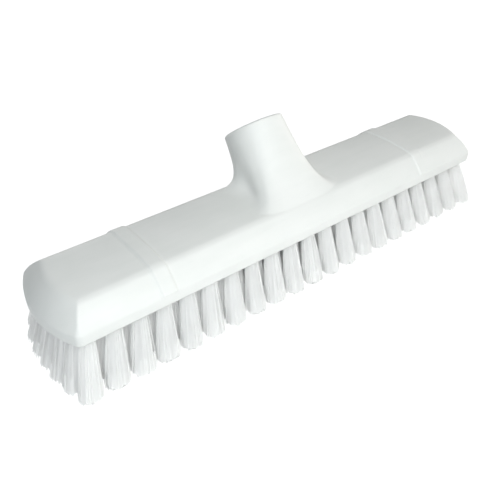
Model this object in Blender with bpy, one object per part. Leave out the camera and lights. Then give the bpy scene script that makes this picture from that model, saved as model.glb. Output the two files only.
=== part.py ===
"""Deck brush head: one moulded block with a leaning handle socket, and its rows of bristle tufts.

Metres, +Z up. X runs along the block, -Y is its front and the socket leans to +Y. The brush stands
on its bristle tips. It is modelled about the middle of the block, and the finished pieces are moved
together so that the origin is the middle of the bottom of the box round the whole head.
"""

import math

import bmesh
import bpy
from mathutils import Matrix, Vector

# Block, seen from above: straight front and back, bowed ends, small corner radii
BLOCK_LENGTH = 0.283
BLOCK_WIDTH = 0.0585
END_BOW = 0.0084
CORNER_RADIUS = 0.0042
MITRE_RADIUS = 0.0010

# Block, seen from the end: a short upright rim, a full shoulder and a crowned top
RIM_HEIGHT = 0.0064
RIM_EDGE_RADIUS = 0.0010
SHOULDER_RUN = 0.0104
SHOULDER_RISE = 0.0105
SHOULDER_BULGE = 0.0006
RIM_BLEND = 0.0009
CREASE_BLEND = 0.0024
CROWN = 0.0010

# Raised bands that cross the shoulders and the top near each end
BAND_INSET = 0.0472
BAND_WIDTH = 0.0094
BAND_FLANK = 0.0014
BAND_HEIGHT = 0.0007

# Handle socket
SOCKET_TILT = math.radians(40)
SOCKET_SETBACK = 0.0050
SOCKET_DIAMETER = 0.0352
SOCKET_LENGTH = 0.0352
SOCKET_SIDE_TAPER = 0.125
SOCKET_BACK_TAPER = 0.067

# The foot that the socket flares into, and how far its straight neck and its flare pull each side's curve
FOOT_HALF_LENGTH = 0.0312
FOOT_HALF_DEPTH = 0.0260
FOOT_SQUARENESS = 2.6
FOOT_PINCH = 0.64
NECK_SHARE_FRONT = 0.62
NECK_SHARE_BACK = 0.50
FLARE_SHARE_FRONT = 0.30
FLARE_SHARE_BACK = 0.516
FOOT_SLOPE_SPAN = 0.009
FOOT_SINK = 0.0002
FOOT_CORE = 0.8

# Blind bore for the handle
BORE_MOUTH_DIAMETER = 0.0245
BORE_END_DIAMETER = 0.0232
BORE_DEPTH = 0.0360
MOUTH_CHAMFER = 0.0008

# Bristles: rows of tufts, each row fused to its own slice of the backing
TRIM = 0.0310
TUFT_ROWS = 7
TUFT_PITCH = 0.0134
END_TUFT_INSET = 0.0108
RIM_WALL = 0.0035
SLICE_THICKNESS = 0.0040
SEAT_GAP = 0.0003
TUFT_RADIUS = 0.0031
TUFT_CORE = 0.0004
TIP_HALF_LENGTH = 0.0057
TIP_HALF_DEPTH = 0.0046
TIP_CORE = 0.0008
STRANDS_PER_TUFT = 3
STRAND_FILL = 0.86
STRAND_EMBED = 0.0006
ROW_LEAN = 0.30
END_LEAN = 0.245

# Facets
END_ARC_STEPS = 12
CORNER_STEPS = 4
STATION_SPACING = 0.030
BLEND_STEPS = 3
TOP_RINGS = 5
LAST_RING_WIDTH = 0.0030
SOCKET_SIDES = 48
SOCKET_STEPS = 14
BORE_SIDES = 36
SLICE_END_STEPS = 4

# Largest share of a wall that its fillets may take
FILLET_LIMIT = 0.9

# Values that follow from the sizes above
HALF_WIDTH = BLOCK_WIDTH / 2
END_RADIUS = (HALF_WIDTH**2 + END_BOW**2) / (2 * END_BOW)
END_CENTRE_X = BLOCK_LENGTH / 2 + END_BOW - END_RADIUS
UNDERSIDE_Z = TRIM
RIM_TOP_Z = UNDERSIDE_Z + RIM_HEIGHT
TOP_Z = RIM_TOP_Z + SHOULDER_RISE
CREASE_Y = HALF_WIDTH - SHOULDER_RUN
POCKET_TOP_Z = UNDERSIDE_Z + SLICE_THICKNESS + SEAT_GAP
SLICE_OFFSET = RIM_WALL + SEAT_GAP
SLICE_PITCH = (2 * (HALF_WIDTH - SLICE_OFFSET) + SEAT_GAP) / TUFT_ROWS
SOCKET_AXIS = Vector((0, math.sin(SOCKET_TILT), math.cos(SOCKET_TILT)))
SOCKET_BACK = Vector((0, math.cos(SOCKET_TILT), -math.sin(SOCKET_TILT)))
SOCKET_RADIUS = SOCKET_DIAMETER / 2
MOUTH_CENTRE = Vector((0, SOCKET_SETBACK, TOP_Z)) + SOCKET_LENGTH * SOCKET_AXIS

MOULDING = {"colour": (0.86, 0.88, 0.87, 1), "roughness": 0.34}
BRISTLE = {"colour": (0.84, 0.86, 0.84, 1), "roughness": 0.42}


def clear_scene():
    for obj in list(bpy.data.objects):
        bpy.data.objects.remove(obj, do_unlink=True)


def plastic(name, colour, roughness):
    """A plain Principled material."""
    material = bpy.data.materials.new(name)
    material.use_nodes = True
    shader = material.node_tree.nodes["Principled BSDF"]
    shader.inputs["Base Color"].default_value = colour
    shader.inputs["Roughness"].default_value = roughness
    shader.inputs["Metallic"].default_value = 0.0
    material.diffuse_color = colour
    return material


def object_from(name, bm):
    """Turns a closed bmesh into an object whose faces point outwards."""
    bmesh.ops.recalc_face_normals(bm, faces=bm.faces)
    mesh = bpy.data.meshes.new(name)
    bm.to_mesh(mesh)
    bm.free()
    obj = bpy.data.objects.new(name, mesh)
    bpy.context.scene.collection.objects.link(obj)
    return obj


def combine(target, tool, operation):
    """Applies a Boolean of the tool to the target, and removes the tool."""
    modifier = target.modifiers.new(operation.title(), "BOOLEAN")
    modifier.object = tool
    modifier.operation = operation
    modifier.solver = "EXACT"
    graph = bpy.context.evaluated_depsgraph_get()
    mesh = bpy.data.meshes.new_from_object(target.evaluated_get(graph))
    target.modifiers.clear()
    target.data = mesh
    bpy.data.objects.remove(tool, do_unlink=True)


def shade(obj, sharp_degrees):
    obj.data.shade_smooth()
    obj.data.set_sharp_from_angle(angle=math.radians(sharp_degrees))


def bridge_rings(bm, rings):
    """Quads between neighbouring rings of the same count."""
    for lower, upper in zip(rings, rings[1:]):
        for i in range(len(lower)):
            j = (i + 1) % len(lower)
            bm.faces.new((lower[i], lower[j], upper[j], upper[i]))


def softened(path, setbacks, steps):
    """The path with each inner corner replaced by a curve that starts a setback before it."""
    points = [path[0]]
    for before, corner, after, setback in zip(path, path[1:], path[2:], setbacks):
        start = corner + (before - corner).normalized() * setback
        end = corner + (after - corner).normalized() * setback
        for k in range(steps + 1):
            t = k / steps
            points.append(start * (1 - t) ** 2 + corner * 2 * t * (1 - t) + end * t**2)
    points.append(path[-1])
    return points


def section_profile():
    """Half of the block's section, from its lower edge to the crease, as (inward offset, z) points."""
    lower_edge = []
    for k in range(BLEND_STEPS):
        angle = math.pi / 2 * k / BLEND_STEPS
        inset = RIM_EDGE_RADIUS * (1 - math.sin(angle))
        lower_edge.append(Vector((inset, UNDERSIDE_Z + RIM_EDGE_RADIUS * (1 - math.cos(angle)))))
    chord = Vector((SHOULDER_RUN, SHOULDER_RISE))
    outward = Vector((-chord.y, chord.x)).normalized()
    corners = [
        Vector((0, UNDERSIDE_Z + RIM_EDGE_RADIUS)),
        Vector((0, RIM_TOP_Z)),
        Vector((0, RIM_TOP_Z)) + chord / 2 + outward * SHOULDER_BULGE,
        Vector((SHOULDER_RUN, TOP_Z)),
        Vector((SHOULDER_RUN + 2 * CREASE_BLEND, TOP_Z)),
    ]
    longest = FILLET_LIMIT / 2 * (chord / 2).length
    setbacks = [
        min(RIM_BLEND, longest, FILLET_LIMIT * (RIM_HEIGHT - RIM_EDGE_RADIUS)),
        longest,
        min(CREASE_BLEND, longest),
    ]
    return lower_edge + softened(corners, setbacks, BLEND_STEPS)


def top_profile(first_offset):
    """Rings on the crowned top, from the crease to a narrow strip along the middle."""
    last = HALF_WIDTH - LAST_RING_WIDTH / 2
    offsets = [first_offset + (last - first_offset) * k / TOP_RINGS for k in range(1, TOP_RINGS + 1)]
    return [Vector((offset, TOP_Z)) for offset in offsets]


def crown_share(z):
    """How far up the shoulder a height is: 0 at the rim and 1 on the top."""
    return min(max((z - RIM_TOP_Z) / SHOULDER_RISE, 0), 1)


def crown(y):
    """Extra height of the crowned top over its creases."""
    return CROWN * max(1 - (y / CREASE_Y) ** 2, 0)


def corner_fillet(offset):
    """Radius and centre of the plan corner at an inward offset, and the end arc's angle there."""
    half_width = HALF_WIDTH - offset
    end_radius = END_RADIUS - offset
    radius = min(max(CORNER_RADIUS - offset, MITRE_RADIUS), FILLET_LIMIT * half_width)
    y = half_width - radius
    x = END_CENTRE_X + math.sqrt((end_radius - radius) ** 2 - y**2)
    return radius, x, y, math.atan2(y, x - END_CENTRE_X)


def band_stations():
    """Places along X where the band's flanks start and end."""
    middle = BLOCK_LENGTH / 2 - BAND_INSET
    outer = BAND_WIDTH / 2
    inner = outer - BAND_FLANK
    return [middle - outer, middle - inner, middle + inner, middle + outer]


def band_share(x):
    """How much of the band's height a place along X gets."""
    start, full, full_end, end = band_stations()
    distance = abs(x)
    rising = (distance - start) / (full - start)
    falling = (end - distance) / (end - full_end)
    return min(max(min(rising, falling), 0), 1)


def straight_stations():
    """X stations of the straight sides, short of the corners."""
    bands = band_stations()
    count = max(round(bands[0] / STATION_SPACING), 1)
    inner = [bands[0] * k / count for k in range(count)]
    right = inner[1:] + bands
    return [-x for x in reversed(right)] + [0.0] + right


def outline(offset):
    """The block's plan outline at an inward offset, counter-clockwise from the front left corner."""
    radius, centre_x, centre_y, angle = corner_fillet(offset)
    end_radius = END_RADIUS - offset
    corner = []
    for k in range(CORNER_STEPS + 1):
        turn = -math.pi / 2 + (math.pi / 2 - angle) * k / CORNER_STEPS
        corner.append((centre_x + radius * math.cos(turn), -centre_y + radius * math.sin(turn)))
    arc = []
    for k in range(1, END_ARC_STEPS):
        turn = -angle + 2 * angle * k / END_ARC_STEPS
        arc.append((END_CENTRE_X + end_radius * math.cos(turn), end_radius * math.sin(turn)))
    right_end = corner + arc + [(x, -y) for x, y in reversed(corner)]
    half_width = HALF_WIDTH - offset
    front = [(x, -half_width) for x in straight_stations()]
    left_end = [(-x, -y) for x, y in right_end]
    back = [(-x, -y) for x, y in front]
    return front + right_end + back + left_end


def end_x(y, offset):
    """Half the block's length at a place across it, on the outline at an inward offset."""
    radius, centre_x, centre_y, angle = corner_fillet(offset)
    end_radius = END_RADIUS - offset
    if abs(y) <= end_radius * math.sin(angle):
        return END_CENTRE_X + math.sqrt(end_radius**2 - y**2)
    return centre_x + math.sqrt(max(radius**2 - (abs(y) - centre_y) ** 2, 0))


def profile_normals(profile):
    """Outward normals of the section, as (outward, up) pairs."""
    normals = []
    for i in range(len(profile)):
        along = profile[min(i + 1, len(profile) - 1)] - profile[max(i - 1, 0)]
        normals.append(Vector((along.y, along.x)).normalized())
    return normals


def block_profile():
    shoulder = section_profile()
    return shoulder + top_profile(shoulder[-1].x)


def block_body():
    """The moulded block with its raised bands, as rings of the outline that climb the section."""
    bm = bmesh.new()
    profile = block_profile()
    rings = []
    for point, normal in zip(profile, profile_normals(profile)):
        offset, z = point
        on_band = BAND_HEIGHT if z > RIM_TOP_Z else 0
        ring = []
        for x, y in outline(offset):
            raised = on_band * band_share(x)
            side = math.copysign(raised * normal.x, y)
            height = z + crown(y) * crown_share(z) + raised * normal.y
            ring.append(bm.verts.new((x, y + side, height)))
        rings.append(ring)
    bridge_rings(bm, rings)
    bm.faces.new(reversed(rings[0]))
    close_top(bm, rings[-1])
    return object_from("block", bm)


def close_top(bm, ring):
    """Closes the narrow last ring with quads across it, and a face at each end."""
    count = len(straight_stations())
    half = len(ring) // 2
    front = ring[:count]
    back = list(reversed(ring[half : half + count]))
    for i in range(count - 1):
        bm.faces.new((front[i], front[i + 1], back[i + 1], back[i]))
    bm.faces.new(ring[count - 1 : half + 1])
    bm.faces.new(ring[half + count - 1 :] + ring[:1])


def surface_height(y):
    """Height of the block's surface at a place across it, clear of the bands."""
    offset = HALF_WIDTH - abs(y)
    profile = [point for point in block_profile() if point.y >= RIM_TOP_Z - RIM_BLEND]
    for low, high in zip(profile, profile[1:]):
        if low.x <= offset <= high.x and high.x > low.x:
            share = (offset - low.x) / (high.x - low.x)
            z = low.y + (high.y - low.y) * share
            return z + crown(y) * crown_share(z)
    return TOP_Z + crown(y)


def foot_point(angle):
    """A point of the socket's foot on the block: a rounded oblong, drawn in at the crown."""
    along = abs(math.cos(angle)) / FOOT_HALF_LENGTH
    across = abs(math.sin(angle)) / FOOT_HALF_DEPTH
    reach = (along**FOOT_SQUARENESS + across**FOOT_SQUARENESS) ** (-1 / FOOT_SQUARENESS)
    y = reach * math.sin(angle)
    x = reach * math.cos(angle) * (1 + FOOT_PINCH * (y / FOOT_HALF_DEPTH) ** 2)
    return Vector((x, y, surface_height(y) - FOOT_SINK))


def foot_tangent(foot):
    """Direction from the foot towards the socket's axis, at the block's mean slope over a short span."""
    inward = Vector((-foot.x, -foot.y, 0)).normalized()
    rise = surface_height(foot.y + inward.y * FOOT_SLOPE_SPAN) - surface_height(foot.y)
    return Vector((inward.x, inward.y, rise / FOOT_SLOPE_SPAN)).normalized()


def socket_curve(angle):
    """Points down the socket's side at one angle: the neck, then a flare that runs onto the block."""
    sideways = math.cos(angle) * Vector((1, 0, 0))
    backwards = math.sin(angle) * SOCKET_BACK
    outward = sideways + backwards
    start = MOUTH_CENTRE - SOCKET_AXIS * MOUTH_CHAMFER + SOCKET_RADIUS * outward
    foot = foot_point(angle)
    length = (foot - start).length
    back_share = (1 + math.sin(angle)) / 2
    neck_share = NECK_SHARE_FRONT + (NECK_SHARE_BACK - NECK_SHARE_FRONT) * back_share
    flare_share = FLARE_SHARE_FRONT + (FLARE_SHARE_BACK - FLARE_SHARE_FRONT) * back_share
    taper = SOCKET_SIDE_TAPER * sideways
    if math.sin(angle) > 0:
        taper = taper - SOCKET_BACK_TAPER * backwards
    neck = start + (taper - SOCKET_AXIS) * neck_share * length
    flare = foot + foot_tangent(foot) * flare_share * length
    points = [MOUTH_CENTRE + (SOCKET_RADIUS - MOUTH_CHAMFER) * outward]
    for k in range(SOCKET_STEPS + 1):
        t = k / SOCKET_STEPS
        points.append(
            start * (1 - t) ** 3 + neck * 3 * t * (1 - t) ** 2 + flare * 3 * t**2 * (1 - t) + foot * t**3
        )
    points.append(Vector((foot.x * FOOT_CORE, foot.y * FOOT_CORE, (RIM_TOP_Z + POCKET_TOP_Z) / 2)))
    return points


def socket_body():
    """The socket as a solid loft, from its mouth down into the block."""
    bm = bmesh.new()
    curves = [socket_curve(2 * math.pi * k / SOCKET_SIDES) for k in range(SOCKET_SIDES)]
    rings = [[bm.verts.new(curve[level]) for curve in curves] for level in range(len(curves[0]))]
    bridge_rings(bm, rings)
    bm.faces.new(rings[0])
    bm.faces.new(reversed(rings[-1]))
    return object_from("socket", bm)


def socket_bore():
    """Cutter for the tapered blind bore, with a chamfer at its mouth."""
    mouth = BORE_MOUTH_DIAMETER / 2
    levels = [
        (MOUTH_CHAMFER, mouth + 2 * MOUTH_CHAMFER),
        (-MOUTH_CHAMFER, mouth),
        (-BORE_DEPTH, BORE_END_DIAMETER / 2),
    ]
    bm = bmesh.new()
    rings = []
    for depth, radius in levels:
        ring = []
        for k in range(BORE_SIDES):
            angle = 2 * math.pi * k / BORE_SIDES
            outward = math.cos(angle) * Vector((1, 0, 0)) + math.sin(angle) * SOCKET_BACK
            ring.append(bm.verts.new(MOUTH_CENTRE + SOCKET_AXIS * depth + radius * outward))
        rings.append(ring)
    bridge_rings(bm, rings)
    bm.faces.new(rings[0])
    bm.faces.new(reversed(rings[-1]))
    return object_from("bore", bm)


def backing_pocket():
    """Cutter for the pocket in the underside that the bristle slices fill."""
    bm = bmesh.new()
    rings = []
    for z in (UNDERSIDE_Z - RIM_EDGE_RADIUS, POCKET_TOP_Z):
        rings.append([bm.verts.new((x, y, z)) for x, y in outline(RIM_WALL)])
    bridge_rings(bm, rings)
    bm.faces.new(reversed(rings[0]))
    bm.faces.new(rings[-1])
    return object_from("pocket", bm)


def block_with_socket():
    """The whole moulding: block, bands and flared socket in one piece."""
    block = block_body()
    block.name = "block_with_socket"
    combine(block, socket_body(), "UNION")
    combine(block, socket_bore(), "DIFFERENCE")
    combine(block, backing_pocket(), "DIFFERENCE")
    block.data.materials.clear()
    block.data.materials.append(plastic("white_moulding", **MOULDING))
    shade(block, 35)
    return block


def row_y(row):
    """Middle of a row's slice, across the block."""
    return (row - (TUFT_ROWS - 1) / 2) * SLICE_PITCH


def row_tufts(row):
    """X places of a row's tufts: the ends follow the bowed ends, and neighbouring rows are staggered."""
    reach = end_x(row_y(row), 0) - END_TUFT_INSET
    if row % 2 == 0:
        count = 2 * round(reach / TUFT_PITCH) + 1
    else:
        count = 2 * round(reach / TUFT_PITCH + 0.5)
    return [-reach + 2 * reach * k / (count - 1) for k in range(count)]


def tuft_lean(x, y):
    """Sideways travel per height of a tuft: the tufts splay outwards towards the edges."""
    return Vector((END_LEAN * x / (BLOCK_LENGTH / 2), ROW_LEAN * y / row_y(TUFT_ROWS - 1)))


def strand_section(direction, half_length, half_depth, core):
    """Four corners of a strand about its tuft's middle: one near it, and three on the tuft's edge."""
    half_angle = STRAND_FILL * math.pi / STRANDS_PER_TUFT
    corners = [core * Vector((math.cos(direction), math.sin(direction)))]
    for turn in (direction - half_angle, direction, direction + half_angle):
        corners.append(Vector((half_length * math.cos(turn), half_depth * math.sin(turn))))
    return corners


def add_strand(bm, x, y, direction):
    """One strand: a straight four-sided rod from inside the slice to its wider, flat tip on the floor."""
    middle = Vector((x, y))
    tip_middle = middle + tuft_lean(x, y) * TRIM
    tip_section = strand_section(direction, TIP_HALF_LENGTH, TIP_HALF_DEPTH, TIP_CORE)
    root_section = strand_section(direction, TUFT_RADIUS, TUFT_RADIUS, TUFT_CORE)
    tip = [tip_middle + corner for corner in tip_section]
    root = [middle + corner for corner in root_section]
    inside = [end + (end - start) * (STRAND_EMBED / TRIM) for start, end in zip(tip, root)]
    rings = []
    for section, z in ((tip, 0), (inside, UNDERSIDE_Z + STRAND_EMBED)):
        rings.append([bm.verts.new((corner.x, corner.y, z)) for corner in section])
    bridge_rings(bm, rings)
    bm.faces.new(reversed(rings[0]))
    bm.faces.new(rings[1])


def row_strands(row):
    """All strands of a row, as separate bodies for the union with the row's slice."""
    bm = bmesh.new()
    y = row_y(row)
    facing = math.pi / 2 if row >= TUFT_ROWS / 2 - 1 else -math.pi / 2
    for x in row_tufts(row):
        for k in range(STRANDS_PER_TUFT):
            add_strand(bm, x, y, facing + 2 * math.pi * k / STRANDS_PER_TUFT)
    return object_from("strands", bm)


def row_slice(row):
    """The strip of backing that carries a row: it follows the bowed ends and sits in the pocket."""
    middle = row_y(row)
    half = (SLICE_PITCH - SEAT_GAP) / 2
    right = []
    for k in range(SLICE_END_STEPS + 1):
        y = middle + half * (2 * k / SLICE_END_STEPS - 1)
        right.append((end_x(y, SLICE_OFFSET), y))
    edge = right + [(-x, y) for x, y in reversed(right)]
    bm = bmesh.new()
    rings = []
    for z in (UNDERSIDE_Z, UNDERSIDE_Z + SLICE_THICKNESS):
        rings.append([bm.verts.new((x, y, z)) for x, y in edge])
    bridge_rings(bm, rings)
    bm.faces.new(reversed(rings[0]))
    bm.faces.new(rings[1])
    return object_from(f"bristle_row_{row + 1}", bm)


def bristle_row(row, material):
    """One row of tufts, fused to its slice."""
    row_object = row_slice(row)
    combine(row_object, row_strands(row), "UNION")
    row_object.data.materials.clear()
    row_object.data.materials.append(material)
    shade(row_object, 20)
    return row_object


def move_to_origin(pieces):
    """Moves the pieces together, so that the origin is the middle of the bottom of their box."""
    corners = [vertex.co for piece in pieces for vertex in piece.data.vertices]
    low = Vector([min(corner[axis] for corner in corners) for axis in range(3)])
    high = Vector([max(corner[axis] for corner in corners) for axis in range(3)])
    middle = Vector(((low.x + high.x) / 2, (low.y + high.y) / 2, low.z))
    for piece in pieces:
        piece.data.transform(Matrix.Translation(-middle))


def main():
    clear_scene()
    pieces = [block_with_socket()]
    material = plastic("white_bristle", **BRISTLE)
    for row in range(TUFT_ROWS):
        pieces.append(bristle_row(row, material))
    move_to_origin(pieces)


main()
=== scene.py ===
"""Dressed scene of the deck brush head: its moulding's finish, its filament tufts and the studio.

Metres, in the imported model's frame: +Z up, X along the block, -Y its front, the origin on the floor.
"""

import logging
import math
from dataclasses import dataclass, field
from enum import Enum
from typing import Any

import bmesh
import bpy
import numpy as np
from mathutils import Matrix, Vector


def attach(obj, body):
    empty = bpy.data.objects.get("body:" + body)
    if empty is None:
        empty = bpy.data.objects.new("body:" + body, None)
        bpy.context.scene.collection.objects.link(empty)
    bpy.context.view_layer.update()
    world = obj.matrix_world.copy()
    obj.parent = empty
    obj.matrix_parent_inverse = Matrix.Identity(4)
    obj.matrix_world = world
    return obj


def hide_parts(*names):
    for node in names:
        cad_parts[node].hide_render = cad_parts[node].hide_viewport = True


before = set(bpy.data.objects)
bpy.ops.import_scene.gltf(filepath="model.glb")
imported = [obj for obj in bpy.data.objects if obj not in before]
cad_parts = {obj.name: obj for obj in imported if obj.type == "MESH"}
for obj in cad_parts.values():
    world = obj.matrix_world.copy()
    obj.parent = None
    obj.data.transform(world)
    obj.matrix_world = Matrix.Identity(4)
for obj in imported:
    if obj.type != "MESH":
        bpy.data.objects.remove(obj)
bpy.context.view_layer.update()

LOG = logging.getLogger("deck_brush")
BODY = "root"

Colour = tuple[float, float, float, float]
Range = tuple[float, float]
Triple = tuple[float, float, float]
Points = np.ndarray

WHITE: Colour = (1.0, 1.0, 1.0, 1.0)
PLASTIC_IOR = 1.49
GOLDEN_ANGLE = math.pi * (3 - math.sqrt(5))


class Slot(Enum):
    """Names for the moulding's and the bristles' material slots."""

    MOULDING = "moulding"
    BRISTLE = "bristle"


class Cut(Enum):
    """What a Boolean does with its tool."""

    JOIN = "UNION"
    TAKE_AWAY = "DIFFERENCE"


class Sharpness(Enum):
    """How a piece's edges are shaded."""

    ROUND = 180
    CREASED = 35


class Wire:
    """An output socket that takes part in Python expressions, each operator adding its Math node."""

    def __init__(self, bench: "NodeBench", socket: bpy.types.NodeSocket) -> None:
        """Wraps a socket.

        Args:
            bench: the node bench that the socket belongs to.
            socket: the output socket to wrap.
        """
        self.bench = bench
        self.socket = socket

    def _with(self, operation: str, first: "Wire | float", second: "Wire | float") -> "Wire":
        """Adds one Math node.

        Args:
            operation: the Math node's operation.
            first: its first value.
            second: its second value.

        Returns:
            The node's result.
        """
        return self.bench.node("ShaderNodeMath", {"operation": operation}, {0: first, 1: second}).out()

    def __add__(self, other: "Wire | float") -> "Wire":
        """The sum."""
        return self._with("ADD", self, other)

    def __radd__(self, other: float) -> "Wire":
        """The sum, with a number on the left."""
        return self._with("ADD", other, self)

    def __sub__(self, other: "Wire | float") -> "Wire":
        """The difference."""
        return self._with("SUBTRACT", self, other)

    def __rsub__(self, other: float) -> "Wire":
        """The difference, with a number on the left."""
        return self._with("SUBTRACT", other, self)

    def __mul__(self, other: "Wire | float") -> "Wire":
        """The product."""
        return self._with("MULTIPLY", self, other)

    def __rmul__(self, other: float) -> "Wire":
        """The product, with a number on the left."""
        return self._with("MULTIPLY", other, self)


class Placed:
    """A node on a bench, whose outputs are taken by name or number."""

    def __init__(self, bench: "NodeBench", made: bpy.types.Node) -> None:
        """Keeps the node and its bench."""
        self.bench = bench
        self.made = made

    def out(self, name: str | int = 0) -> Wire:
        """The output of that name or number, as a wire."""
        return Wire(self.bench, self.made.outputs[name])


class NodeBench:
    """A material's or the world's node tree, and the one method that adds nodes to it."""

    def __init__(self, owner: bpy.types.Material | bpy.types.World) -> None:
        """Empties the owner's node tree.

        Args:
            owner: the material or world whose tree is built.
        """
        owner.use_nodes = True
        self.tree = owner.node_tree
        self.tree.nodes.clear()

    def node(self, kind: str, settings: dict[str, Any] | None = None, inputs: dict | None = None) -> Placed:
        """Adds a node, sets it up, then fills its sockets.

        Args:
            kind: the node's type name.
            settings: its properties.
            inputs: values, or wires to link, by socket name or number.

        Returns:
            The node that was added.
        """
        made = self.tree.nodes.new(kind)
        for name, value in (settings or {}).items():
            setattr(made, name, value)
        for name, value in (inputs or {}).items():
            if isinstance(value, Wire):
                self.tree.links.new(value.socket, made.inputs[name])
            else:
                made.inputs[name].default_value = value
        return Placed(self, made)

    def noise(self, place: Wire, scale: float, detail: float = 2.0, roughness: float = 0.5) -> Wire:
        """Noise about 0.5.

        Args:
            place: the coordinates it is read at.
            scale: its scale, in waves a metre.
            detail: how many finer layers it has.
            roughness: how strong those layers are.

        Returns:
            The noise value.
        """
        inputs = {"Vector": place, "Scale": scale, "Detail": detail, "Roughness": roughness}
        return self.node("ShaderNodeTexNoise", {}, inputs).out(0)

    def stretched(self, place: Wire, scale: Triple, turn_degrees: float = 0.0) -> Wire:
        """Coordinates scaled by axis, and turned about Z.

        Args:
            place: the coordinates to change.
            scale: the factor on each axis.
            turn_degrees: the turn about Z.

        Returns:
            The new coordinates.
        """
        turn = (0.0, 0.0, math.radians(turn_degrees))
        return self.node("ShaderNodeMapping", {}, {"Vector": place, "Scale": scale, "Rotation": turn}).out()

    def span(self, value: Wire, ends: Range) -> Wire:
        """A smooth 0 to 1 as a value goes from one end of a range to the other.

        Args:
            value: the value to follow.
            ends: where the result is 0, and where it is 1.

        Returns:
            The eased value.
        """
        settings = {"interpolation_type": "SMOOTHSTEP"}
        inputs = {"Value": value, "From Min": ends[0], "From Max": ends[1]}
        return self.node("ShaderNodeMapRange", settings, inputs).out()

    def blend(self, share: Wire, first: "Colour | Wire", second: "Colour | Wire") -> Wire:
        """A mix of two colours.

        Args:
            share: how much of the second, from 0 to 1.
            first: the first colour.
            second: the second colour.

        Returns:
            The mixed colour.
        """
        settings = {"data_type": "RGBA"}
        return self.node("ShaderNodeMix", settings, {0: share, 6: first, 7: second}).out(2)

    def bump(self, height: Wire, distance: float, strength: float = 0.5, under: Wire | None = None) -> Wire:
        """A bumped normal.

        Args:
            height: the height, from 0 to 1.
            distance: what a height of 1 stands for, in metres.
            strength: the share of it that shows.
            under: a normal that it is laid over.

        Returns:
            The normal.
        """
        inputs: dict = {"Height": height, "Distance": distance, "Strength": strength}
        if under is not None:
            inputs["Normal"] = under
        return self.node("ShaderNodeBump", {}, inputs).out()


def new_material(name: str, viewport: Colour) -> tuple[bpy.types.Material, NodeBench]:
    """A material with an empty bench.

    Args:
        name: the material's name.
        viewport: its colour in the viewport.

    Returns:
        The material and its bench.
    """
    material = bpy.data.materials.new(name)
    material.diffuse_color = viewport
    return material, NodeBench(material)


@dataclass(frozen=True)
class MouldedPlastic:
    """Satin white moulded plastic: clouding, flow streaks, spark grain, hairlines and a rubbed rim."""

    name: str
    colour: Colour = (0.855, 0.865, 0.838, 1.0)
    clouded: Colour = (0.82, 0.835, 0.805, 1.0)
    scuffed: Colour = (0.75, 0.765, 0.74, 1.0)
    roughness: float = 0.45
    cloud_scale: float = 28.0
    cloud_dulling: float = 0.10
    streak_stretch: Triple = (0.35, 2.2, 1.4)
    streak_turn: float = 4.0
    streak_scale: float = 90.0
    streak_share: float = 0.3
    tone_span: Range = (0.35, 0.65)
    grain_scale: float = 3200.0
    grain_height: float = 0.00002
    grain_strength: float = 0.8
    grain_dulling: float = 0.08
    hairline_stretch: Triple = (1.0, 14.0, 5.0)
    hairline_turn: float = 27.0
    hairline_scale: float = 130.0
    hairline_span: Range = (0.66, 0.70)
    hairline_depth: float = 0.00001
    hairline_share: float = 0.12
    hairline_dulling: float = 0.10
    rim_span: Range = (0.0310, 0.0345)
    rub_scale: float = 210.0
    rub_span: Range = (0.47, 0.68)
    rub_share: float = 0.55
    rub_dulling: float = 0.12
    wave_scale: float = 42.0
    wave_height: float = 0.00018

    def make(self) -> bpy.types.Material:
        """Builds the material.

        Returns:
            The material.
        """
        material, bench = new_material(self.name, self.colour)
        place = bench.node("ShaderNodeTexCoord").out("Object")
        clouds = bench.noise(place, self.cloud_scale, detail=3.0)
        flow = bench.stretched(place, self.streak_stretch, self.streak_turn)
        streaks = bench.noise(flow, self.streak_scale)
        grain = bench.noise(place, self.grain_scale, roughness=0.6)
        along = bench.stretched(place, self.hairline_stretch, self.hairline_turn)
        hairlines = bench.span(bench.noise(along, self.hairline_scale, detail=1.0), self.hairline_span)
        height = bench.node("ShaderNodeSeparateXYZ", {}, {0: place}).out("Z")
        rim = 1 - bench.span(height, self.rim_span)
        patches = bench.noise(place, self.rub_scale, detail=4.0, roughness=0.65)
        rubbed = rim * bench.span(patches, self.rub_span)
        tone = bench.span(clouds * (1 - self.streak_share) + streaks * self.streak_share, self.tone_span)
        clean = bench.blend(tone, self.colour, self.clouded)
        worn = bench.blend(rubbed * self.rub_share + hairlines * self.hairline_share, clean, self.scuffed)
        dull = self.roughness + (clouds - 0.5) * self.cloud_dulling + (grain - 0.5) * self.grain_dulling
        dull = dull + rubbed * self.rub_dulling + hairlines * self.hairline_dulling
        waves = bench.bump(bench.noise(place, self.wave_scale, detail=1.0), self.wave_height)
        fine = bench.bump(grain, self.grain_height, self.grain_strength, waves)
        normal = bench.bump(1 - hairlines, self.hairline_depth, under=fine)
        inputs = {"Base Color": worn, "Roughness": dull, "Normal": normal, "IOR": PLASTIC_IOR}
        shader = bench.node("ShaderNodeBsdfPrincipled", {}, inputs).out()
        bench.node("ShaderNodeOutputMaterial", {}, {"Surface": shader})
        return material


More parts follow.
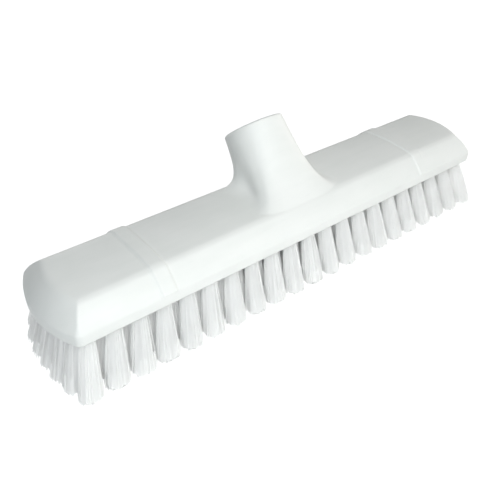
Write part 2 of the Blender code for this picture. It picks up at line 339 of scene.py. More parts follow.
@dataclass(frozen=True)
class DrawnFilament:
    """White translucent filament: each strand its own tone, darker and a little greener towards the root as
    painted shade under the block, drawn lines along it.
    """

    name: str
    pale: Colour = (0.980, 0.982, 0.978, 1.0)
    deep: Colour = (0.965, 0.968, 0.962, 1.0)
    # Painted shade: the filaments' darker tone near the root, where the block shades them.
    root: Colour = (0.93, 0.94, 0.925, 1.0)
    roughness: float = 0.40
    clearness: float = 0.62
    root_shade_span: Range = (0.0210, 0.0310)
    root_shade_share: float = 0.6
    draw_stretch: Triple = (1.0, 1.0, 0.05)
    draw_scale: float = 5200.0
    draw_depth: float = 0.00002
    draw_dulling: float = 0.10
    mottle_scale: float = 160.0
    mottle_share: float = 0.3
    strand_dulling: float = 0.12

    def make(self) -> bpy.types.Material:
        """Builds the material.

        Returns:
            The material.
        """
        material, bench = new_material(self.name, self.pale)
        place = bench.node("ShaderNodeTexCoord").out("Object")
        strand = bench.node("ShaderNodeNewGeometry").out("Random Per Island")
        drawn = bench.noise(bench.stretched(place, self.draw_stretch), self.draw_scale)
        mottle = bench.noise(place, self.mottle_scale)
        height = bench.node("ShaderNodeSeparateXYZ", {}, {0: place}).out("Z")
        # Painted shade: the filaments darken towards the root, just under the block.
        root_shade = bench.span(height, self.root_shade_span)
        share = strand * (1 - self.mottle_share) + mottle * self.mottle_share
        tone = bench.blend(share, self.pale, self.deep)
        shaded = bench.blend(root_shade * self.root_shade_share, tone, self.root)
        dull = self.roughness + (strand - 0.5) * self.strand_dulling + (drawn - 0.5) * self.draw_dulling
        normal = bench.bump(drawn, self.draw_depth)
        inputs = {"Base Color": shaded, "Roughness": dull, "Normal": normal, "IOR": PLASTIC_IOR}
        solid = bench.node("ShaderNodeBsdfPrincipled", {}, inputs).out()
        inputs = {"Color": self.pale, "Normal": normal}
        through = bench.node("ShaderNodeBsdfTranslucent", {}, inputs).out()
        mixed = bench.node("ShaderNodeMixShader", {}, {0: self.clearness, 1: solid, 2: through}).out()
        bench.node("ShaderNodeOutputMaterial", {}, {"Surface": mixed})
        return material


def ring_turns(count: int) -> list[float]:
    """Even turns round a circle."""
    return [2 * math.pi * k / count for k in range(count)]


def shown_mesh(name: str, points: Points | list, faces: list) -> bpy.types.Object:
    """Makes a mesh object.

    Args:
        name: the object's name.
        points: its points, in metres.
        faces: its faces, as tuples of point numbers.

    Returns:
        The object, linked to the scene.
    """
    mesh = bpy.data.meshes.new(name)
    mesh.from_pydata(points, [], faces)
    made = bpy.data.objects.new(name, mesh)
    bpy.context.scene.collection.objects.link(made)
    return made


def ring_faces(levels: int, count: int) -> list[tuple[int, ...]]:
    """Quads between rings of points that follow each other.

    Args:
        levels: how many rings there are.
        count: how many points each has.

    Returns:
        The quads, as point numbers.
    """
    faces = []
    for low in range(0, (levels - 1) * count, count):
        for i in range(count):
            j = (i + 1) % count
            faces.append((low + i, low + j, low + count + j, low + count + i))
    return faces


def closed_rings(levels: int, count: int) -> list[tuple[int, ...]]:
    """The quads of ring_faces, with a face over the first and the last ring."""
    last = range((levels - 1) * count, levels * count)
    return ring_faces(levels, count) + [tuple(reversed(range(count))), tuple(last)]


def keep_modified(made: bpy.types.Object) -> None:
    """Turns an object's modifiers into its mesh.

    Args:
        made: the object.
    """
    graph = bpy.context.evaluated_depsgraph_get()
    mesh = bpy.data.meshes.new_from_object(made.evaluated_get(graph))
    made.modifiers.clear()
    made.data = mesh


def point_outwards(solid: bpy.types.Object) -> None:
    """Makes a closed solid's faces point outwards.

    Args:
        solid: the solid.
    """
    shape = bmesh.new()
    shape.from_mesh(solid.data)
    bmesh.ops.recalc_face_normals(shape, faces=shape.faces)
    shape.to_mesh(solid.data)
    shape.free()


def combine(target: bpy.types.Object, tool: bpy.types.Object, cut: Cut) -> None:
    """Joins a tool to a solid or takes it away, and removes the tool.

    Args:
        target: the solid.
        tool: the tool.
        cut: what is done with it.
    """
    for solid in (target, tool):
        point_outwards(solid)
    boolean = target.modifiers.new("cut", "BOOLEAN")
    boolean.object = tool
    boolean.operation = cut.value
    boolean.solver = "EXACT"
    keep_modified(target)
    bpy.data.objects.remove(tool, do_unlink=True)


def dress(piece: bpy.types.Object, sharpness: Sharpness) -> bpy.types.Object:
    """Shades a new piece and lets it ride on the object's body.

    Args:
        piece: the piece.
        sharpness: how its edges are shaded.

    Returns:
        The piece.
    """
    piece.data.shade_smooth()
    if sharpness is not Sharpness.ROUND:
        piece.data.set_sharp_from_angle(angle=math.radians(sharpness.value))
    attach(piece, BODY)
    LOG.info("%s: %d faces", piece.name, len(piece.data.polygons))
    return piece


@dataclass
class BlockPlan:
    """The block seen from above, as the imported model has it: straight sides and bowed ends."""

    length: float = 0.2830
    width: float = 0.0585
    end_bow: float = 0.0084
    corner_radius: float = 0.0042
    mitre_radius: float = 0.0010
    middle_y: float = -0.0023760
    band_inset: float = 0.0472
    band_width: float = 0.0094
    band_flank: float = 0.0013
    corner_limit: float = 0.9
    arc_steps: int = 60
    corner_steps: int = 8
    side_steps: int = 30
    flank_steps: int = 6

    @property
    def end_radius(self) -> float:
        """Radius of the bowed ends."""
        half = self.width / 2
        return (half**2 + self.end_bow**2) / (2 * self.end_bow)

    @property
    def end_centre(self) -> float:
        """Where the right end's arc has its centre, along X."""
        return self.length / 2 + self.end_bow - self.end_radius

    def reach(self, across: float) -> float:
        """Half the block's length, at a distance across it from its middle line."""
        return self.end_centre + math.sqrt(self.end_radius**2 - across**2)

    def band_share(self, x: float) -> float:
        """How much of a raised band's height a place gets, with eased flanks.

        Args:
            x: the place along the block.

        Returns:
            The share, from 0 to 1.
        """
        distance = abs(abs(x) - (self.length / 2 - self.band_inset))
        share = (self.band_width / 2 - distance) / self.band_flank
        share = min(max(share, 0.0), 1.0)
        return share * share * (3 - 2 * share)

    def stations(self) -> list[float]:
        """Places along the straight sides, close together on the flanks of the raised bands.

        Returns:
            Their x, from left to right.
        """
        middle = self.length / 2 - self.band_inset
        outer = self.band_width / 2
        inner = outer - self.band_flank
        right = [(middle - outer) * k / self.side_steps for k in range(1, self.side_steps)]
        for start, end in ((middle - outer, middle - inner), (middle + inner, middle + outer)):
            right += [start + (end - start) * k / self.flank_steps for k in range(self.flank_steps + 1)]
        return [-x for x in reversed(right)] + [0.0] + right

    def outline(self, inset: float) -> list[tuple[float, float]]:
        """The plan outline about the block's middle, counter-clockwise from the front left station.

        Args:
            inset: how far inside the block's edge it runs.

        Returns:
            Its (x, y) points.
        """
        half_width = self.width / 2 - inset
        end_radius = self.end_radius - inset
        radius = min(max(self.corner_radius - inset, self.mitre_radius), self.corner_limit * half_width)
        centre_y = half_width - radius
        centre_x = self.end_centre + math.sqrt((end_radius - radius) ** 2 - centre_y**2)
        angle = math.atan2(centre_y, centre_x - self.end_centre)
        corner = []
        for k in range(self.corner_steps + 1):
            turn = -math.pi / 2 + (math.pi / 2 - angle) * k / self.corner_steps
            corner.append((centre_x + radius * math.cos(turn), -centre_y + radius * math.sin(turn)))
        arc = []
        for k in range(1, self.arc_steps):
            turn = -angle + 2 * angle * k / self.arc_steps
            arc.append((self.end_centre + end_radius * math.cos(turn), end_radius * math.sin(turn)))
        front = [(x, -half_width) for x in self.stations()]
        half = front + corner + arc + [(x, -y) for x, y in reversed(corner)]
        return half + [(-x, -y) for x, y in half]


@dataclass
class BlockForm:
    """The block itself: an upright rim, full shoulders and a crowned top crossed by raised bands."""

    plan: BlockPlan
    underside_z: float = 0.0310
    rim_height: float = 0.0064
    rim_edge: float = 0.0010
    shoulder_run: float = 0.0104
    shoulder_rise: float = 0.0105
    shoulder_bulge: float = 0.0006
    bulge_reach: float = 0.45
    rim_blend: float = 0.0009
    crease_blend: float = 0.0024
    crown_height: float = 0.0010
    band_height: float = 0.0008
    blend_steps: int = 8
    top_rings: int = 24
    last_ring_width: float = 0.0030

    @property
    def rim_top(self) -> float:
        """Height of the rim's upper edge."""
        return self.underside_z + self.rim_height

    @property
    def top(self) -> float:
        """Height of the creases between the shoulders and the top."""
        return self.rim_top + self.shoulder_rise

    def crown(self, across: float, height: float) -> float:
        """What the crowned top adds to a height.

        Args:
            across: the distance from the block's middle line.
            height: the height without the crown.

        Returns:
            The rise.
        """
        crease = self.plan.width / 2 - self.shoulder_run
        share = min(max((height - self.rim_top) / self.shoulder_rise, 0.0), 1.0)
        return share * self.crown_height * max(1 - (across / crease) ** 2, 0.0)

    def profile(self) -> list[Vector]:
        """Half of the section, from the lower edge to near the middle.

        Returns:
            Its (inset, height) points.
        """
        turns = [math.pi / 2 * k / self.blend_steps for k in range(self.blend_steps)]
        points = []
        for turn in turns:
            inset = self.rim_edge * (1 - math.sin(turn))
            points.append(Vector((inset, self.underside_z + self.rim_edge * (1 - math.cos(turn)))))
        chord = Vector((self.shoulder_run, self.shoulder_rise))
        outward = Vector((-chord.y, chord.x)).normalized()
        corners = [
            Vector((0.0, self.underside_z + self.rim_edge)),
            Vector((0.0, self.rim_top)),
            Vector((0.0, self.rim_top)) + chord / 2 + outward * self.shoulder_bulge,
            Vector((self.shoulder_run, self.top)),
            Vector((self.shoulder_run + 2 * self.crease_blend, self.top)),
        ]
        bulge = self.bulge_reach * (chord / 2).length
        points += self._softened(corners, [self.rim_blend, bulge, self.crease_blend])
        last = self.plan.width / 2 - self.last_ring_width / 2
        first = points[-1].x
        steps = range(1, self.top_rings + 1)
        return points + [Vector((first + (last - first) * k / self.top_rings, self.top)) for k in steps]

    def _softened(self, path: list[Vector], setbacks: list[float]) -> list[Vector]:
        """Rounds the inner corners of a path.

        Args:
            path: its points.
            setbacks: how far before each inner corner its curve starts.

        Returns:
            The rounded path.
        """
        points = [path[0]]
        for before, corner, after, setback in zip(path, path[1:], path[2:], setbacks):
            start = corner + (before - corner).normalized() * setback
            end = corner + (after - corner).normalized() * setback
            for k in range(self.blend_steps + 1):
                t = k / self.blend_steps
                points.append(start * (1 - t) ** 2 + corner * 2 * t * (1 - t) + end * t**2)
        return points + [path[-1]]

    def surface_height(self, across: float) -> float:
        """Height of the block's surface, clear of the bands.

        Args:
            across: the distance from the block's middle line.

        Returns:
            The height.
        """
        inset = self.plan.width / 2 - abs(across)
        points = [point for point in self.profile() if point.y >= self.rim_top - self.rim_blend]
        for low, high in zip(points, points[1:]):
            if low.x <= inset <= high.x and high.x > low.x:
                height = low.y + (high.y - low.y) * (inset - low.x) / (high.x - low.x)
                return height + self.crown(across, height)
        return self.top + self.crown(across, self.top)

    def build(self) -> bpy.types.Object:
        """Lofts the plan outline up the section, as one closed body about the block's middle.

        Returns:
            The body.
        """
        profile = self.profile()
        points: list[Triple] = []
        for level, point in enumerate(profile):
            along = profile[min(level + 1, len(profile) - 1)] - profile[max(level - 1, 0)]
            normal = Vector((along.y, along.x)).normalized()
            banded = self.band_height if point.y > self.rim_top else 0.0
            for x, y in self.plan.outline(point.x):
                raised = banded * self.plan.band_share(x)
                side = math.copysign(raised * normal.x, y)
                points.append((x, y + side, point.y + self.crown(y, point.y) + raised * normal.y))
        count = len(points) // len(profile)
        faces = ring_faces(len(profile), count) + [tuple(reversed(range(count)))]
        return shown_mesh("block", points, faces + self._lid(len(points) - count, count))

    def _lid(self, start: int, count: int) -> list[tuple[int, ...]]:
        """Closes the top: a strip between each pair of stations, and one face at each end.

        Args:
            start: the number of the last ring's first point.
            count: how many points that ring has.

        Returns:
            The faces, as point numbers.
        """
        faces: list[tuple[int, ...]] = []
        straight = len(self.plan.stations())
        half = count // 2
        front = [start + i for i in range(straight)]
        back = [start + half + straight - 1 - i for i in range(straight)]
        for i in range(straight - 1):
            faces.append((front[i], front[i + 1], back[i + 1], back[i]))
        faces.append(tuple(start + i for i in range(straight - 1, half + 1)))
        faces.append(tuple(start + i for i in range(half + straight - 1, count)) + (start,))
        return faces


@dataclass
class HandleSocket:
    """The leaning socket: a round neck that flares into the block, and its tapered blind bore."""

    block: BlockForm
    tilt_degrees: float = 40.0
    setback: float = 0.0050
    diameter: float = 0.0352
    length: float = 0.0352
    side_taper: float = 0.125
    back_taper: float = 0.067
    foot_half_length: float = 0.0312
    foot_front_depth: float = 0.0283
    foot_back_depth: float = 0.0260
    foot_squareness: float = 2.6
    foot_pinch: float = 0.64
    neck_shares: Range = (0.62, 0.50)
    flare_shares: Range = (0.30, 0.516)
    slope_span: float = 0.009
    foot_sink: float = 0.0002
    foot_core: float = 0.8
    bore_mouth: float = 0.0245
    bore_end: float = 0.0232
    bore_depth: float = 0.0360
    chamfer: float = 0.0008
    sides: int = 144
    steps: int = 44

    @property
    def axis(self) -> Vector:
        """Direction of the socket, out of its mouth."""
        tilt = math.radians(self.tilt_degrees)
        return Vector((0, math.sin(tilt), math.cos(tilt)))

    @property
    def back(self) -> Vector:
        """Direction from the socket's axis towards its back."""
        tilt = math.radians(self.tilt_degrees)
        return Vector((0, math.cos(tilt), -math.sin(tilt)))

    @property
    def mouth(self) -> Vector:
        """Middle of the mouth."""
        return Vector((0, self.setback, self.block.top)) + self.length * self.axis

    def outward(self, turn: float) -> Vector:
        """Direction from the axis at a turn round it."""
        return math.cos(turn) * Vector((1, 0, 0)) + math.sin(turn) * self.back

    def foot_point(self, turn: float) -> Vector:
        """A point of the foot on the block: a rounded oblong, drawn in at the crown.

        Args:
            turn: the turn round the axis.

        Returns:
            The point.
        """
        power = self.foot_squareness
        half_depth = self.foot_front_depth if math.sin(turn) < 0 else self.foot_back_depth
        along = abs(math.cos(turn)) / self.foot_half_length
        across = abs(math.sin(turn)) / half_depth
        reach = (along**power + across**power) ** (-1 / power)
        y = reach * math.sin(turn)
        x = reach * math.cos(turn) * (1 + self.foot_pinch * (y / half_depth) ** 2)
        return Vector((x, y, self.block.surface_height(y) - self.foot_sink))

    def foot_tangent(self, foot: Vector) -> Vector:
        """Direction from the foot towards the axis, at the block's mean slope over a short span.

        Args:
            foot: the point of the foot.

        Returns:
            The direction.
        """
        inward = Vector((-foot.x, -foot.y, 0)).normalized()
        far = self.block.surface_height(foot.y + inward.y * self.slope_span)
        rise = far - self.block.surface_height(foot.y)
        return Vector((inward.x, inward.y, rise / self.slope_span)).normalized()

    @staticmethod
    def share_at(turn: float, ends: Range) -> float:
        """A share between the one at the socket's front and the one at its back."""
        back = (1 + math.sin(turn)) / 2
        return ends[0] + (ends[1] - ends[0]) * back

    def side_curve(self, turn: float) -> list[Vector]:
        """Points down the socket's side at one turn.

        Args:
            turn: the turn round the axis.

        Returns:
            The points, from the mouth to the foot and into the block.
        """
        outward = self.outward(turn)
        radius = self.diameter / 2
        start = self.mouth - self.axis * self.chamfer + radius * outward
        foot = self.foot_point(turn)
        length = (foot - start).length
        taper = self.side_taper * math.cos(turn) * Vector((1, 0, 0))
        if math.sin(turn) > 0:
            taper = taper - self.back_taper * math.sin(turn) * self.back
        neck = start + (taper - self.axis) * self.share_at(turn, self.neck_shares) * length
        flare = foot + self.foot_tangent(foot) * self.share_at(turn, self.flare_shares) * length
        points = [self.mouth + (radius - self.chamfer) * outward]
        for k in range(self.steps + 1):
            t = k / self.steps
            u = 1 - t
            points.append(start * u**3 + neck * 3 * t * u**2 + flare * 3 * t**2 * u + foot * t**3)
        core = (self.block.rim_top + self.block.underside_z + self.block.rim_edge) / 2
        return points + [Vector((foot.x * self.foot_core, foot.y * self.foot_core, core))]

    def build(self) -> bpy.types.Object:
        """Lofts the socket from its mouth down into the block, as one closed body.

        Returns:
            The body.
        """
        curves = [self.side_curve(turn) for turn in ring_turns(self.sides)]
        levels = len(curves[0])
        points = [tuple(curve[level]) for level in range(levels) for curve in curves]
        return shown_mesh("socket", points, closed_rings(levels, self.sides))

    def bore(self) -> bpy.types.Object:
        """The bore's cutter, with the mouth's chamfer.

        Returns:
            The cutter.
        """
        mouth = self.bore_mouth / 2
        eased = (self.chamfer, mouth + 2 * self.chamfer)
        levels = [eased, (-self.chamfer, mouth), (-self.bore_depth, self.bore_end / 2)]
        points = []
        for depth, radius in levels:
            for turn in ring_turns(self.sides):
                points.append(tuple(self.mouth + self.axis * depth + radius * self.outward(turn)))
        return shown_mesh("bore", points, closed_rings(len(levels), self.sides))


@dataclass
class TuftLayout:
    """Where the tufts are set: staggered rows that follow the bowed ends."""

    plan: BlockPlan
    rows: int = 7
    row_pitch: float = 0.0073
    tuft_pitch: float = 0.0134
    end_inset: float = 0.0108

    def row_offset(self, row: int) -> float:
        """A row's distance from the block's middle line."""
        return (row - (self.rows - 1) / 2) * self.row_pitch

    def row_places(self, row: int) -> list[tuple[float, float]]:
        """The middles of a row's holes.

        Args:
            row: the row's number, from 0 at the front.

        Returns:
            Their (x, distance from the block's middle line) places. Rows have an odd and an even
            count in turn, which staggers them.
        """
        across = self.row_offset(row)
        reach = self.plan.reach(across) - self.end_inset
        if row % 2 == 0:
            count = 2 * round(reach / self.tuft_pitch) + 1
        else:
            count = 2 * round(reach / self.tuft_pitch + 0.5)
        return [(-reach + 2 * reach * k / (count - 1), across) for k in range(count)]


@dataclass
class TuftHoles:
    """The drilled holes that the tufts are set in."""

    layout: TuftLayout
    radius: float = 0.00315
    depth: float = 0.0022
    ease: float = 0.0005
    sides: int = 24

    def cutter(self, underside_z: float) -> bpy.types.Object:
        """All the holes as one cutter, with eased mouths.

        Args:
            underside_z: the height of the face that they are drilled in.

        Returns:
            The cutter.
        """
        circle = [(math.cos(turn), math.sin(turn)) for turn in ring_turns(self.sides)]
        levels = [(-self.ease, 2 * self.ease), (self.ease, 0.0), (self.depth, 0.0)]
        hole = closed_rings(len(levels), self.sides)
        points: list[Triple] = []
        faces: list[tuple[int, ...]] = []
        for row in range(self.layout.rows):
            for x, y in self.layout.row_places(row):
                start = len(points)
                for rise, wider in levels:
                    reach = self.radius + wider
                    points += [(x + reach * c, y + reach * s, underside_z + rise) for c, s in circle]
                faces += [tuple(start + i for i in face) for face in hole]
        return shown_mesh("holes", points, faces)


@dataclass(frozen=True)
class TuftPlace:
    """One tuft: its hole's place, and its own share of the usual tip, along the block and across it."""

    x: float
    across: float
    size: Points


@dataclass
class TuftRow:
    """One row of tufts, each a grooved heart with loose filaments round it and a brush at its tip."""

    layout: TuftLayout
    row: int
    trim: float = 0.0310
    root_sink: float = 0.0020
    strands: int = 16
    tip_strands: int = 100
    tip_start: float = 0.74
    strand_radius: float = 0.00021
    root_radius: float = 0.0031
    tip_half_length: float = 0.0061
    tip_half_depth: float = 0.0054
    tip_squareness: float = 2.8
    tip_inner: float = 0.1
    size_spread: float = 0.04
    thickness_spread: float = 0.06
    heart_share: float = 0.92
    heart_shortfall: float = 0.0019
    heart_raggedness: Range = (0.4, 1.6)
    grooves: int = 26
    groove_share: float = 0.02
    row_lean: float = 0.30
    end_lean: float = 0.245
    last_row_ease: float = 0.30
    fan_power: float = 0.92
    waver: float = 0.00012
    tip_jitter: float = 0.00025
    stray_share: float = 0.15
    stray_reach: float = 0.0010
    shortfall: float = 0.00035
    sides: int = 4
    steps: int = 5
    seed: int = 4100
    random: np.random.Generator = field(init=False)

    def __post_init__(self) -> None:
        """Starts the row's own random numbers."""
        self.random = np.random.default_rng(self.seed + self.row)

    def lean(self, x: float, across: float) -> tuple[float, float]:
        """A tuft's sideways travel per height: it splays towards the edges, along the last row least.

        Args:
            x: the tuft's place along the block.
            across: its distance from the block's middle line.

        Returns:
            The travel along the block and across it.
        """
        share = across / self.layout.row_offset(self.layout.rows - 1)
        along = self.end_lean * (1 - self.last_row_ease * max(share, 0.0) ** 4)
        return along * x / (self.layout.plan.length / 2), self.row_lean * share

    def bundle(self, count: int, inner: float) -> Points:
        """Places of loose filaments in a tuft's hole.

        Args:
            count: how many there are.
            inner: where their ring starts, the hole's edge being 1.

        Returns:
            Their places.
        """
        reach = np.sqrt(self.random.uniform(inner**2, 1.0, count))
        turn = np.arange(count) * GOLDEN_ANGLE + self.random.uniform(0, 2 * math.pi)
        return np.stack([reach * np.cos(turn), reach * np.sin(turn)], axis=1)

    def shares(self, start: float = 0.0) -> Points:
        """Shares of the way down at which a filament or a heart has its points."""
        return np.linspace(start, 1, self.steps + 1)[None, :, None]

    def paths(self, spots: Points, place: TuftPlace, share: Points) -> Points:
        """Ways down from places in a hole to the trim, where the bundle is a rounded oblong.

        Args:
            spots: the places, 1 being the hole's edge.
            place: the tuft's place.
            share: the shares of the way that are wanted.

        Returns:
            An array of spots by points by 2.
        """
        middle = np.array([place.x, place.across + self.layout.plan.middle_y])
        turn = np.arctan2(spots[:, 1], spots[:, 0])
        power = self.tip_squareness
        square = (np.abs(np.cos(turn)) ** power + np.abs(np.sin(turn)) ** power) ** (-1 / power)
        root = middle + spots * self.root_radius
        tip = middle + np.array(self.lean(place.x, place.across)) * self.trim
        half_sizes = np.array([self.tip_half_length, self.tip_half_depth])
        tip = tip + spots * square[:, None] * half_sizes * place.size
        return root[:, None] + (tip - root)[:, None] * share**self.fan_power

    def heights(self, short: Points, share: Points) -> Points:
        """Heights of the points of ways down, which end short of the floor."""
        top = self.trim + self.root_sink
        return top - (top - short[:, None, None]) * share

    def strand_lines(self, place: TuftPlace, count: int, inner: float, start: float) -> Points:
        """The centre lines of a tuft's loose filaments.

        Args:
            place: the tuft's place.
            count: how many there are.
            inner: where their ring starts, the hole's edge being 1.
            start: the share of the way down at which they begin.

        Returns:
            An array of strands by points by 3.
        """
        share = self.shares(start)
        flat = self.paths(self.bundle(count, inner), place, share)
        wide = np.where(self.random.random(count) < self.stray_share, self.stray_reach, self.tip_jitter)
        flat = flat + (self.random.uniform(-1, 1, (count, 2)) * wide[:, None])[:, None] * share
        flat = flat + self.random.normal(0, self.waver, (count, 2))[:, None] * np.sin(share * math.pi)
        short = np.abs(self.random.normal(0, self.shortfall, count))
        return np.concatenate([flat, self.heights(short, share)], axis=2)

    def heart(self, place: TuftPlace) -> tuple[Points, list]:
        """The dense middle of a tuft, grooved along its length as packed filaments are.

        Args:
            place: the tuft's place.

        Returns:
            Its points, and its faces as tuples of point numbers.
        """
        count = self.grooves * 2
        turns = -2 * math.pi * np.arange(count) / count
        reach = self.heart_share * (1 + self.random.uniform(-1, 1, count) * self.groove_share)
        reach[::2] *= 1 - self.groove_share
        spots = np.stack([reach * np.cos(turns), reach * np.sin(turns)], axis=1)
        short = self.heart_shortfall * self.random.uniform(*self.heart_raggedness, count)
        share = self.shares()
        rings = np.concatenate([self.paths(spots, place, share), self.heights(short, share)], axis=2)
        return rings.transpose(1, 0, 2).reshape(-1, 3), closed_rings(self.steps + 1, count)

    def tubes(self, lines: Points) -> tuple[Points, list]:
        """Closed tubes along lines, with few sides.

        Args:
            lines: an array of strands by points by 3.

        Returns:
            Their points, and their faces as tuples of point numbers.
        """
        strands, rings = lines.shape[:2]
        turns = 2 * math.pi * np.arange(self.sides) / self.sides
        section = np.stack([np.cos(turns), np.sin(turns), np.zeros(self.sides)], axis=1)
        circle = section * self.strand_radius
        thick = self.random.normal(1.0, self.thickness_spread, (strands, 1, 1, 1))
        points = (lines[:, :, None] + circle[None, None] * thick).reshape(-1, 3)
        tube = [tuple(reversed(face)) for face in closed_rings(rings, self.sides)]
        faces = []
        for start in range(0, len(points), rings * self.sides):
            faces += [tuple(start + i for i in face) for face in tube]
        return points, faces

    def build(self, finish: bpy.types.Material) -> bpy.types.Object:
        """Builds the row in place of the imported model's plain one.

        Args:
            finish: the filaments' material.

        Returns:
            The row.
        """
        places = []
        for x, across in self.layout.row_places(self.row):
            places.append(TuftPlace(x, across, self.random.normal(1.0, self.size_spread, 2)))
        whole = [self.strand_lines(place, self.strands, self.heart_share, 0.0) for place in places]
        tips = [
            self.strand_lines(place, self.tip_strands, self.tip_inner, self.tip_start) for place in places
        ]
        points, faces = self.tubes(np.concatenate(whole + tips))
        for place in places:
            heart, its_faces = self.heart(place)
            faces += [tuple(len(points) + i for i in face) for face in its_faces]
            points = np.concatenate([points, heart])
        made = shown_mesh(f"tuft_row_{self.row + 1}", points, faces)
        made.data.materials.append(finish)
        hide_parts(f"bristle_row_{self.row + 1}")
        return dress(made, Sharpness.CREASED)


@dataclass
class Moulding:
    """Block and handle socket as one piece, with the tuft holes and a mould's soft edges."""

    block: BlockForm
    layout: TuftLayout
    grid: float = 0.00040
    softening: int = 2
    softening_share: float = 0.5

    def build(self, finish: bpy.types.Material) -> bpy.types.Object:
        """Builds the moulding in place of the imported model's faceted one.

        Args:
            finish: the moulding's material.

        Returns:
            The moulding.
        """
        socket = HandleSocket(self.block)
        made = self.block.build()
        combine(made, socket.build(), Cut.JOIN)
        combine(made, socket.bore(), Cut.TAKE_AWAY)
        combine(made, TuftHoles(self.layout).cutter(self.block.underside_z), Cut.TAKE_AWAY)
        self._soften(made)
        made.data.transform(Matrix.Translation((0.0, self.block.plan.middle_y, 0.0)))
        made.name = "moulding"
        made.data.materials.clear()
        made.data.materials.append(finish)
        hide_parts("block_with_socket")
        return dress(made, Sharpness.ROUND)

    def _soften(self, made: bpy.types.Object) -> None:
        """Rebuilds a solid on a fine grid and eases its edges.

        Args:
            made: the solid.
        """
        grid = made.modifiers.new("grid", "REMESH")
        grid.mode = "VOXEL"
        grid.voxel_size = self.grid
        easing = made.modifiers.new("easing", "SMOOTH")
        easing.factor = self.softening_share
        easing.iterations = self.softening
        keep_modified(made)


@dataclass(frozen=True)
class SoftPanel:
    """A square soft lamp aimed at the object: bearing 0 is in front of it, and 90 to its right."""

    name: str
    bearing_degrees: float
    rise_degrees: float
    watts: float
    distance: float = 0.70
    width: float = 0.35
    colour: Triple = (1.0, 1.0, 1.0)

    def build(self) -> bpy.types.Object:
        """Places the lamp.

        Returns:
            The lamp.
        """
        bearing, rise = math.radians(self.bearing_degrees), math.radians(self.rise_degrees)
        level = math.cos(rise)
        towards = Vector((math.sin(bearing) * level, -math.cos(bearing) * level, math.sin(rise)))
        lamp = bpy.data.lights.new(self.name, "AREA")
        lamp.energy = self.watts
        lamp.size = self.width
        lamp.color = self.colour
        made = bpy.data.objects.new(self.name, lamp)
        made.location = towards * self.distance
        made.rotation_mode = "QUATERNION"
        made.rotation_quaternion = towards.to_track_quat("Z", "Y")
        bpy.context.scene.collection.objects.link(made)
        return made


PANELS = (
    SoftPanel("camera_side_panel", -43.0, 38.0, 1.20, colour=(0.89, 1.0, 1.08)),
    SoftPanel("high_front_panel", -11.0, 45.0, 1.04, distance=0.45, colour=(1.0, 0.995, 0.975)),
    SoftPanel("low_front_panel", -15.0, 10.0, 0.35),
    SoftPanel("low_right_panel", 50.0, 20.0, 0.40, colour=(1.0, 0.99, 0.96)),
    SoftPanel("right_panel", 90.0, 10.0, 1.02, colour=(1.0, 0.985, 0.95)),
    SoftPanel("back_panel", 180.0, 15.0, 0.7),
)


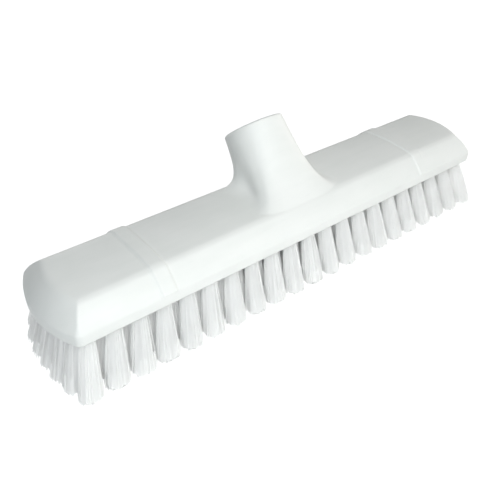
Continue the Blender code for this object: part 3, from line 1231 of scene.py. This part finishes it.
@dataclass
class Studio:
    """A pale floor, plain soft light, and the camera at the photograph's angle."""

    floor_half: float = 3.0
    floor_z: float = -0.0003
    floor_colour: Colour = (0.90, 0.90, 0.90, 1.0)
    seen_floor_colour: Colour = (0.42, 0.42, 0.42, 1.0)
    seen_floor_glow: float = 0.92
    sky_colour: Colour = (0.95, 0.98, 1.0, 1.0)
    sky_strength: float = 0.14
    camera_place: Triple = (-0.20470, -0.22079, 0.23200)
    camera_turn_degrees: Triple = (52.3607, -1.5044, -38.7436)
    lens: float = 44.274
    sensor_width: float = 36.0
    near_clip: float = 0.01

    @staticmethod
    def seen_plainly(path: Placed) -> Wire:
        """1 or more for the rays that show the backdrop: the camera's, and those of gloss and glass."""
        return path.out("Is Camera Ray") + path.out("Is Glossy Ray") + path.out("Is Transmission Ray")

    def floor(self) -> bpy.types.Object:
        """The floor, plain to the light it bounces, and white with a soft shadow to the camera.

        Returns:
            The floor.
        """
        material, bench = new_material("pale_floor", self.floor_colour)
        seen = self.seen_plainly(bench.node("ShaderNodeLightPath"))
        plain = bench.node("ShaderNodeBsdfDiffuse", {}, {"Color": self.floor_colour}).out()
        shadowed = bench.node("ShaderNodeBsdfDiffuse", {}, {"Color": self.seen_floor_colour}).out()
        glow = {"Color": WHITE, "Strength": self.seen_floor_glow}
        glowing = bench.node("ShaderNodeEmission", {}, glow).out()
        lit = bench.node("ShaderNodeAddShader", {}, {0: shadowed, 1: glowing}).out()
        mixed = bench.node("ShaderNodeMixShader", {}, {0: seen, 1: plain, 2: lit}).out()
        bench.node("ShaderNodeOutputMaterial", {}, {"Surface": mixed})
        reach = self.floor_half
        corners = [(-reach, -reach), (reach, -reach), (reach, reach), (-reach, reach)]
        points = np.array([(x, y, self.floor_z) for x, y in corners])
        made = shown_mesh("floor", points, [(0, 1, 2, 3)])
        made.data.materials.append(material)
        return made

    def world(self) -> None:
        """White behind the object, and an even pale light from all round."""
        world = bpy.data.worlds.new("studio")
        bench = NodeBench(world)
        seen = self.seen_plainly(bench.node("ShaderNodeLightPath"))
        white = bench.node("ShaderNodeBackground", {}, {"Color": WHITE, "Strength": 1.0}).out()
        sky = {"Color": self.sky_colour, "Strength": self.sky_strength}
        soft = bench.node("ShaderNodeBackground", {}, sky).out()
        mixed = bench.node("ShaderNodeMixShader", {}, {0: seen, 1: soft, 2: white}).out()
        bench.node("ShaderNodeOutputWorld", {}, {"Surface": mixed})
        bpy.context.scene.world = world

    def camera(self) -> None:
        """The camera where the photograph was taken from."""
        data = bpy.data.cameras.new("photo_camera")
        data.sensor_width = self.sensor_width
        data.lens = self.lens
        data.clip_start = self.near_clip
        made = bpy.data.objects.new("photo_camera", data)
        made.location = self.camera_place
        made.rotation_euler = [math.radians(a) for a in self.camera_turn_degrees]
        bpy.context.scene.collection.objects.link(made)
        bpy.context.scene.camera = made

    def build(self) -> None:
        """Sets up floor, light and camera."""
        self.floor()
        self.world()
        self.camera()
        for panel in PANELS:
            panel.build()
        bpy.context.scene.view_settings.view_transform = "Standard"


def main() -> None:
    """Builds the studio and the brush, piece by piece."""
    logging.basicConfig(level=logging.INFO, format="%(message)s")
    Studio().build()
    plastic = MouldedPlastic("satin_white_moulding").make()
    filament = DrawnFilament("white_filament").make()
    plan = BlockPlan()
    layout = TuftLayout(plan)
    Moulding(BlockForm(plan), layout).build(plastic)
    for row in range(layout.rows):
        TuftRow(layout, row).build(filament)


if __name__ == "__main__":
    main()
